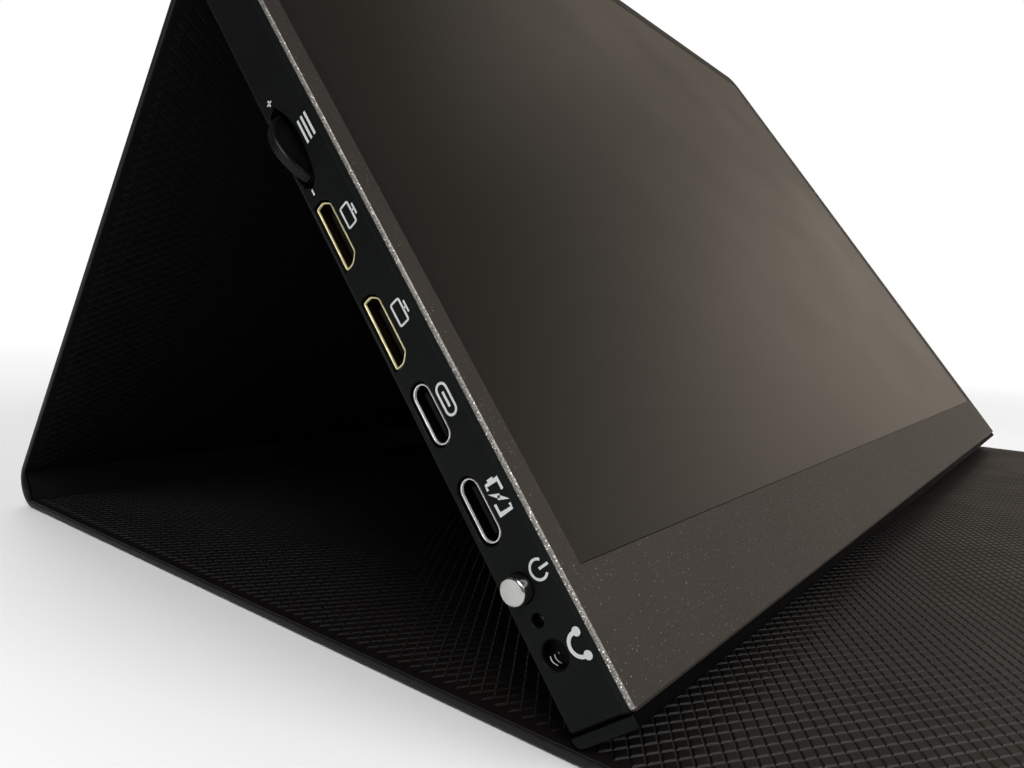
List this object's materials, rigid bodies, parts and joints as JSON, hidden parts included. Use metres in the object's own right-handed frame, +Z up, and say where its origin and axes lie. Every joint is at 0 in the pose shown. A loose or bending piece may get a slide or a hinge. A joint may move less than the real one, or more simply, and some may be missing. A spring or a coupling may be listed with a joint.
{
  "type": "portable monitor with cover",
  "caption": "Slim portable monitor that leans on its own folding cover, with sockets, a power button and a menu wheel along its left side.",
  "frame": {"origin": "centre of the flap's underside, on the surface that the part stands on", "axes": "+X along the monitor's width to the viewer's right, +Y to the back, +Z up"},
  "size_m": [0.3561, 0.2299, 0.1838],
  "materials": {
    "cover_skin": "fine-grained black imitation leather",
    "cover_lining": "dark brown-grey embossed imitation leather, satin",
    "cover_board": "stiff fibre board",
    "magnet_steel": "nickel-plated",
    "casing": "satin black paint",
    "rail": "satin black",
    "frame": "metallic dark grey paint with fine sparkle",
    "display": "anti-glare, switched off",
    "backlight": "pressed tray with film stack",
    "foam": "closed-cell foam",
    "circuit_board": "green solder mask",
    "dark_plastic": "moulded",
    "tin_plate": "tinned",
    "screw_steel": "zinc-plated",
    "gold_shell": "gold flash over folded sheet",
    "steel_shell": "bright drawn shell",
    "tongue": "moulded insulator",
    "jack_plastic": "moulded black",
    "contact_metal": "sprung contact metal",
    "button_metal": "turned, bright edge",
    "pale_plastic": "moulded",
    "clear_plastic": "smoked clear rod",
    "wheel_plastic": "polished black",
    "cable_film": "polyimide film"
  },
  "bodies": {
    "flap": {"flap_skin": "cover_skin", "flap_board": "cover_board", "flap_lining": "cover_lining", "flap_magnets": "magnet_steel", "spine": "cover_skin"},
    "back_panel": {"back_panel_skin": "cover_skin", "back_panel_board": "cover_board", "back_panel_lining": "cover_lining"},
    "monitor": {"upper_crease": "cover_skin", "upper_panel_skin": "cover_skin", "upper_panel_board": "cover_board", "upper_panel_lining": "cover_lining", "upper_panel_magnets": "magnet_steel", "attach_plate": "magnet_steel", "rear_casing": "casing", "bottom_rail": "rail", "front_frame": "frame", "display_glass": "display", "backlight_unit": "backlight", "panel_gasket": "foam", "main_board": "circuit_board", "board_chips": "dark_plastic", "chip_shield": "tin_plate", "board_screws": "screw_steel", "casing_screws": "screw_steel", "hdmi_shell_1": "gold_shell", "hdmi_shell_2": "gold_shell", "hdmi_tongue_1": "tongue", "hdmi_tongue_2": "tongue", "usb_c_shell_1": "steel_shell", "usb_c_shell_2": "steel_shell", "usb_c_tongue_1": "tongue", "usb_c_tongue_2": "tongue", "audio_jack": "jack_plastic", "jack_contacts": "contact_metal", "power_switch": "dark_plastic", "status_led": "pale_plastic", "light_pipe": "clear_plastic", "wheel_switch": "dark_plastic", "speaker_left": "dark_plastic", "speaker_right": "dark_plastic", "panel_connector": "pale_plastic", "panel_cable": "cable_film"},
    "power_button": {"power_button": "button_metal"},
    "wheel_carrier": {"wheel_carrier": "dark_plastic"},
    "menu_wheel": {"menu_wheel": "wheel_plastic"}
  },
  "joints": [
    {"name": "stand_fold", "type": "hinge", "parent": "flap", "child": "back_panel", "pos_m": [0, 0.1266, 0.0034], "axis": [1, 0, 0], "range_deg": [-24, 22], "deforming": ["spine"]},
    {"name": "upper_fold", "type": "hinge", "parent": "back_panel", "child": "monitor", "pos_m": [0, 0.04231, 0.10591], "axis": [1, 0, 0], "range_deg": [-44, 48], "deforming": ["upper_crease"]},
    {"name": "power_press", "type": "slide", "parent": "monitor", "child": "power_button", "axis": [1, 0, 0], "range_m": [0, 0.0006], "stiffness_N_per_m": 1200, "springref_m": -0.0003},
    {"name": "wheel_press", "type": "slide", "parent": "monitor", "child": "wheel_carrier", "axis": [1, 0, 0], "range_m": [0, 0.0005], "stiffness_N_per_m": 1200, "springref_m": -0.0003},
    {"name": "wheel_turn", "type": "hinge", "parent": "wheel_carrier", "child": "menu_wheel", "pos_m": [-0.1726, 0.01312, 0.07444], "axis": [0, -0.7826, 0.6225], "range_deg": [-15, 15], "stiffness_Nm_per_rad": 0.02}
  ],
  "couplings": [
    {"joint": "upper_fold", "follows": "stand_fold", "ratio": -2}
  ]
}
